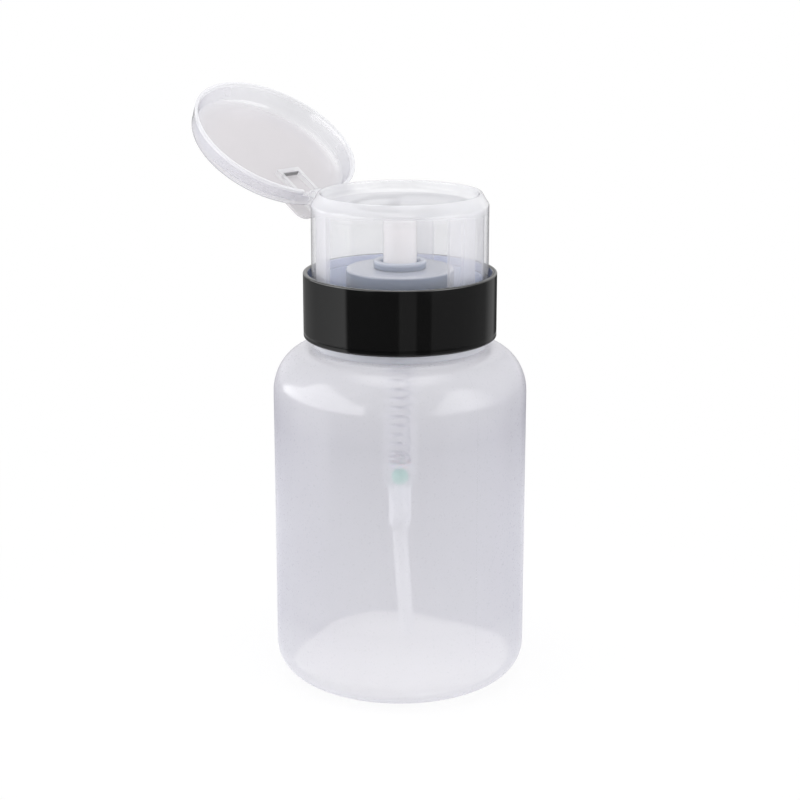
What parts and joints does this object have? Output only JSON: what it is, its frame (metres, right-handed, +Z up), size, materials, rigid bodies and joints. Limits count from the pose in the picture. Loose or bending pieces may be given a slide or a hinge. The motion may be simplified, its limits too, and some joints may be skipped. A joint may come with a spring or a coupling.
{
  "type": "nail polish remover pump dispenser",
  "caption": "Press-down pump bottle for nail polish remover: push the clear cup to wet a pad, flip the lid shut over it.",
  "frame": {"origin": "the bottle's axis at the middle of its pushed-up base panel, 0.6 mm over the standing plane, which is z = 0", "axes": "+Z up along the bottle, -X towards the lid's hinge, Y along the hinge axis"},
  "size_m": [0.0959, 0.064, 0.148],
  "materials": {
    "natural_plastic": "translucent natural polyethylene, satin",
    "clear_plastic": "clear gloss moulding",
    "white_plastic": "opaque white moulding",
    "milky_plastic": "translucent milky moulding",
    "gloss_black_plastic": "polished black",
    "gasket_foam": "fine white closed foam",
    "green_ball": "green glass",
    "spring_steel": "drawn stainless wire"
  },
  "bodies": {
    "bottle_body": {"bottle": "natural_plastic"},
    "pump": {"neck_gasket": "gasket_foam", "pump_cylinder": "milky_plastic", "stem_guide": "milky_plastic", "ball_retainer": "white_plastic", "dip_tube": "milky_plastic", "pump_spring": "spring_steel"},
    "closure": {"threaded_closure": "milky_plastic", "collar_shroud": "gloss_black_plastic"},
    "press_head": {"press_cup": "clear_plastic", "piston_stem": "white_plastic", "piston_seal": "white_plastic", "piston_retainer": "white_plastic"},
    "lid": {"flip_lid": "clear_plastic"},
    "inlet_check": {"inlet_ball": "green_ball"},
    "outlet_check": {"outlet_ball": "white_plastic"}
  },
  "joints": [
    {"name": "pump_lift", "type": "slide", "parent": "bottle_body", "child": "pump", "axis": [0, 0, 1], "range_m": [0, 0.0045]},
    {"name": "closure_turn", "type": "hinge", "parent": "pump", "child": "closure", "pos_m": [0, 0, 0.09], "axis": [0, 0, 1], "range_deg": [0, 540]},
    {"name": "pump_press", "type": "slide", "parent": "pump", "child": "press_head", "axis": [0, 0, 1], "range_m": [-0.0065, 0], "stiffness_N_per_m": 300, "springref_m": 0.002, "deforming": ["pump_spring"]},
    {"name": "lid_hinge", "type": "hinge", "parent": "press_head", "child": "lid", "pos_m": [-0.0235, 0, 0.1228], "axis": [0, -1, 0], "range_deg": [-146, 0]},
    {"name": "inlet_ball_lift", "type": "slide", "parent": "pump", "child": "inlet_check", "axis": [0, 0, 1], "range_m": [0, 0.0005]},
    {"name": "outlet_ball_lift", "type": "slide", "parent": "press_head", "child": "outlet_check", "axis": [0, 0, 1], "range_m": [0, 0.0005]}
  ],
  "couplings": [
    {"joint": "pump_lift", "follows": "closure_turn", "m_per_rad": 0.000477}
  ]
}
